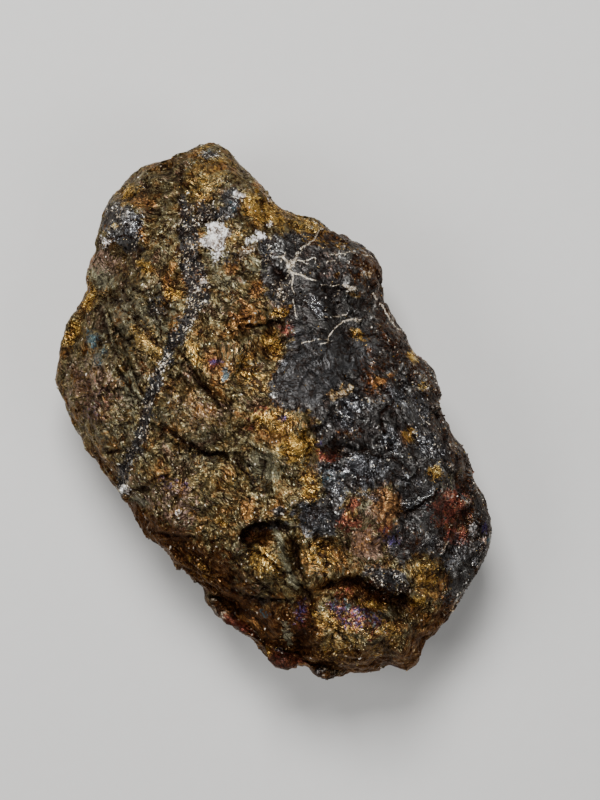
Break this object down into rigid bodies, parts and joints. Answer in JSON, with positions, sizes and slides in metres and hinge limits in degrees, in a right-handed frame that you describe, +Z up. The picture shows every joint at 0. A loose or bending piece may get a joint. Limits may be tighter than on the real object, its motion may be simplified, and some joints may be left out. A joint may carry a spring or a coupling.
{
  "type": "chalcopyrite specimen",
  "caption": "Rough broken lump of tarnished chalcopyrite ore with a dark sulphide zone, a thin dark vein and small white quartz patches, lying on a flat break.",
  "frame": {"origin": "bottom centre of the bounding box, on the flat break that the lump rests on", "axes": "+Z up through the pictured face, +Y along the longest extent towards the narrow end, +X to the right across the face"},
  "size_m": [0.0872, 0.1416, 0.0558],
  "materials": {
    "ore": "rough, granular, partly metallic brass-brown with iridescent tarnish",
    "dark_sulphide": "dark grey to black sulphide grains with silvery glints",
    "quartz": "white quartz and cream calcite grains, glossy to dull"
  },
  "bodies": {
    "root": {"chalcopyrite_lump": "ore"}
  },
  "joints": []
}
